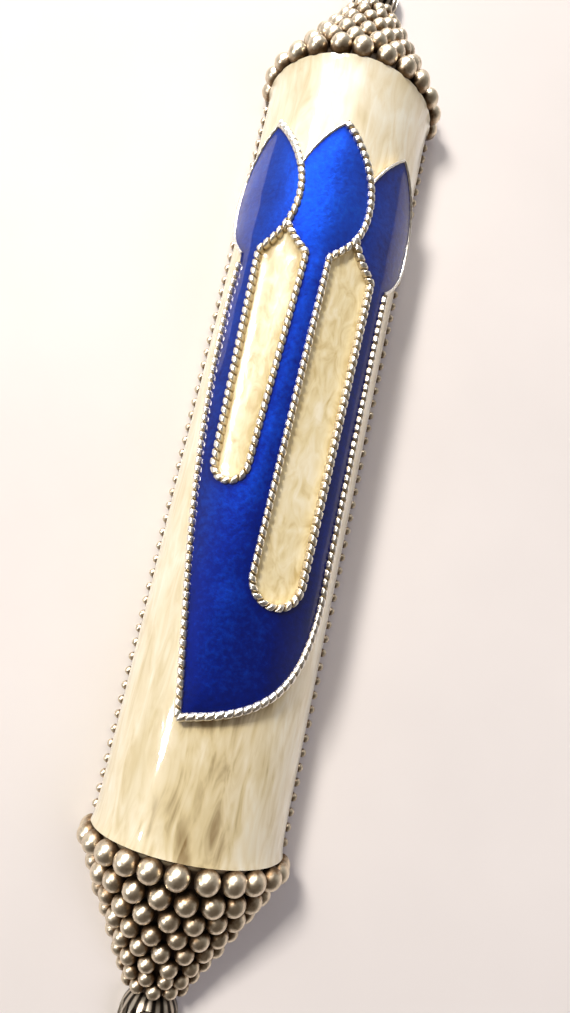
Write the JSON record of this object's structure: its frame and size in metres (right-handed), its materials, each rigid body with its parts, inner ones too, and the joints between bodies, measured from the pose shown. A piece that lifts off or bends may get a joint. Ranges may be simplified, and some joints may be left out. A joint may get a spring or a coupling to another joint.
{
  "type": "mezuzah case",
  "caption": "Small doorpost scroll case: D-section enamelled tube with a raised blue tulip ornament, granulated end caps, fluted finials with nail holes, and a rolled parchment inside.",
  "frame": {"origin": "centre of the flat back", "axes": "+Z out of the enamelled front, +Y along the case to its upper end, +X across to the right seen from the front"},
  "size_m": [0.021, 0.1185, 0.0121],
  "materials": {
    "cast_pewter": "cast pewter, darkened in the hollows",
    "antiqued_silver": "silvered granules, bright on top and near black between",
    "milled_wire": "bright notched silver wire",
    "cream_enamel": "glossy pearl enamel, opaque, streaked lengthwise",
    "blue_enamel": "glossy cobalt enamel over a textured ground",
    "parchment": "matt parchment",
    "sleeve": "thin milky sleeve"
  },
  "bodies": {
    "case": {"front_shell": "cast_pewter", "back_plate": "cast_pewter", "cream_enamel": "cream_enamel", "left_edge_beading": "antiqued_silver", "right_edge_beading": "antiqued_silver", "tulip_relief": "cast_pewter", "blue_enamel": "blue_enamel", "outline_wire": "milled_wire", "left_window_wire": "milled_wire", "right_window_wire": "milled_wire", "left_bud_wire": "milled_wire", "centre_bud_wire": "milled_wire", "left_window_enamel": "cream_enamel", "right_window_enamel": "cream_enamel", "upper_end_cap": "cast_pewter", "upper_granulation": "antiqued_silver", "upper_collar": "cast_pewter", "upper_finial": "cast_pewter"},
    "lower_cap": {"lower_end_cap": "cast_pewter", "lower_granulation": "antiqued_silver", "lower_collar": "cast_pewter", "lower_finial": "cast_pewter"},
    "scroll": {"parchment_scroll": "parchment", "scroll_sleeve": "sleeve"}
  },
  "joints": [
    {"name": "lower_cap_slide", "type": "slide", "parent": "case", "child": "lower_cap", "axis": [0, -1, 0], "range_m": [0, 0.02]},
    {"name": "scroll_slide", "type": "slide", "parent": "case", "child": "scroll", "axis": [0, 1, 0], "range_m": [-0.0035, 0.0035]}
  ]
}
